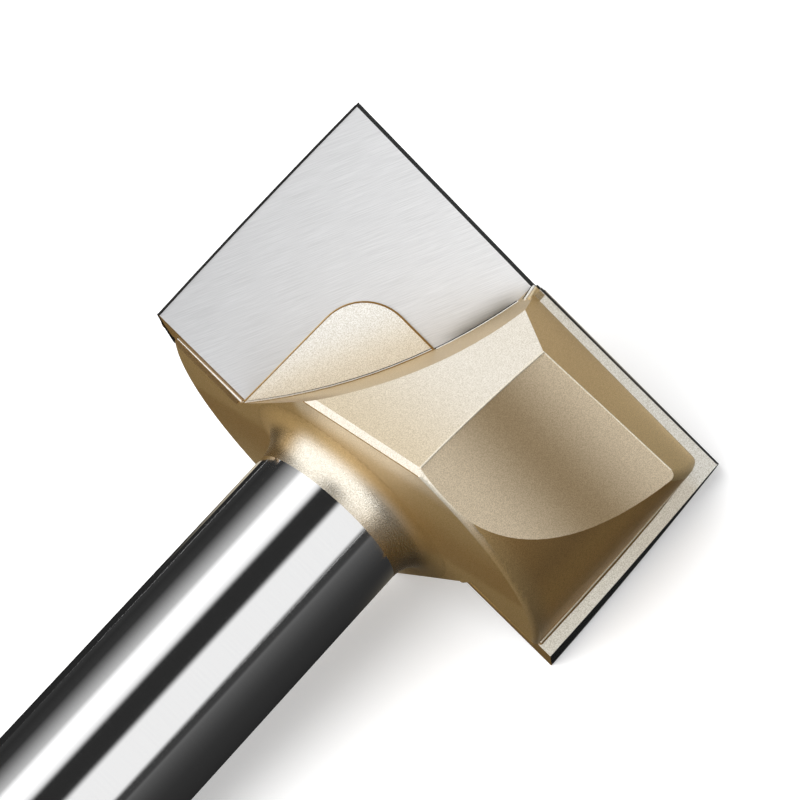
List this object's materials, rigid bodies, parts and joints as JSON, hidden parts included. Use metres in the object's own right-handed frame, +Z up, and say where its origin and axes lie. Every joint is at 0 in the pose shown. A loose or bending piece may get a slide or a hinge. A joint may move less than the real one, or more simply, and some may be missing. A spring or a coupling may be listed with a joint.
{
  "type": "router bit",
  "caption": "Carbide-tipped bottom cleaning router bit: a round polished shank, a wide painted head with milled flutes, and L-shaped blades brazed into them.",
  "frame": {"origin": "centre of the bounding box's footprint, at the height of the bench the tool lies on", "axes": "+Z up from the bench; +X along the tool's length towards its cutting end, so the shank's axis lies in the XZ plane and rises 8.5 degrees towards the head; +Y across, away from the blade's face that the picture shows"},
  "size_m": [0.0642, 0.0348, 0.0302],
  "materials": {
    "cutter_body": "fine speckled champagne-gold coating on the head, bare polished steel on the shank and neck",
    "blade": "ground carbide, fine parallel grinding lines",
    "braze": "thin braze film, dull"
  },
  "bodies": {
    "root": {"cutter_body": "cutter_body", "blade_1": "blade", "blade_2": "blade", "braze_1": "braze", "braze_2": "braze"}
  },
  "joints": []
}
